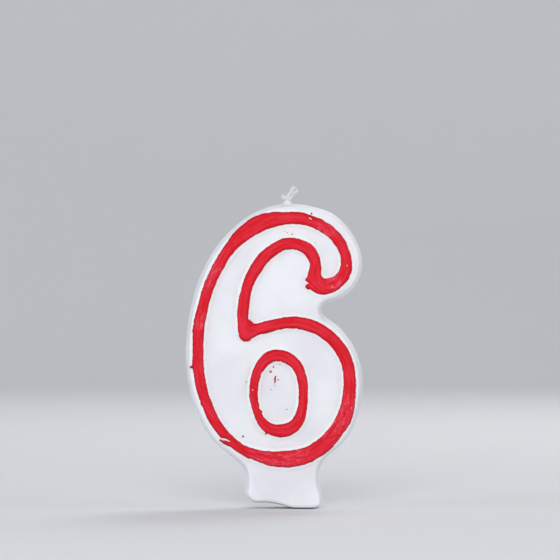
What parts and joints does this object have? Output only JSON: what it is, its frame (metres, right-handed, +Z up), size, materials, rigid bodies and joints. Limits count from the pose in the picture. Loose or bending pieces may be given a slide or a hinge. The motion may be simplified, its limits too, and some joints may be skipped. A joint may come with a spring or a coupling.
{
  "type": "number candle",
  "caption": "Birthday candle in the shape of the numeral 6: white wax with a push-in foot, raised red outlines on its front, and a short cotton wick.",
  "frame": {"origin": "at the foot mount: below the middle of the numeral's width and thickness, in the plane of the foot's lowest face", "axes": "+Z up from the foot to the wick; -Y towards the front, the side with the red outlines; +X to the reader's right as the numeral is read"},
  "size_m": [0.0443, 0.0124, 0.0807],
  "materials": {
    "white_wax": "white moulded paraffin wax, satin and slightly translucent",
    "red_wax": "red wax laid on by hand over the raised ridges, semi-gloss, with ragged edges",
    "wick_cotton": "twisted white cotton yarn stiffened with wax, frayed at its end"
  },
  "bodies": {
    "root": {"wax_body": "white_wax", "numeral_outline": "red_wax", "counter_outline": "red_wax", "wick": "wick_cotton"}
  },
  "joints": []
}
